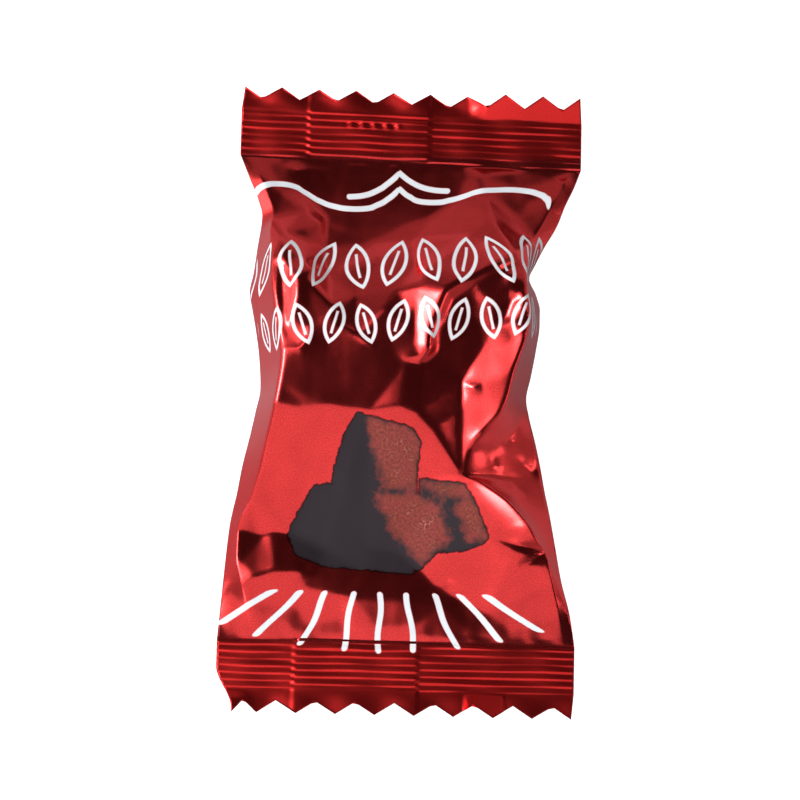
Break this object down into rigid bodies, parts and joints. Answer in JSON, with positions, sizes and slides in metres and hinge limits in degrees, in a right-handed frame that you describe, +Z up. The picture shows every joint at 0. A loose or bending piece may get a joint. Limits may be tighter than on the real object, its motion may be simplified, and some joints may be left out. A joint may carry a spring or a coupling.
{
  "type": "wrapped chocolate truffle",
  "caption": "Chocolate truffle in a shut, crumpled red metallised flow wrap with crimped zigzag end seals, lying on its back.",
  "frame": {"origin": "centre of the bounding box's underside, on the table the pack lies on", "axes": "+Y along the pack towards its top seal, +X to the right of the printed face, +Z up out of the printed face"},
  "size_m": [0.044, 0.078, 0.0172],
  "materials": {
    "film": "red metallised film, satin with sharp highlights on its folds"
  },
  "bodies": {
    "root": {"sachet": "film"}
  },
  "joints": []
}
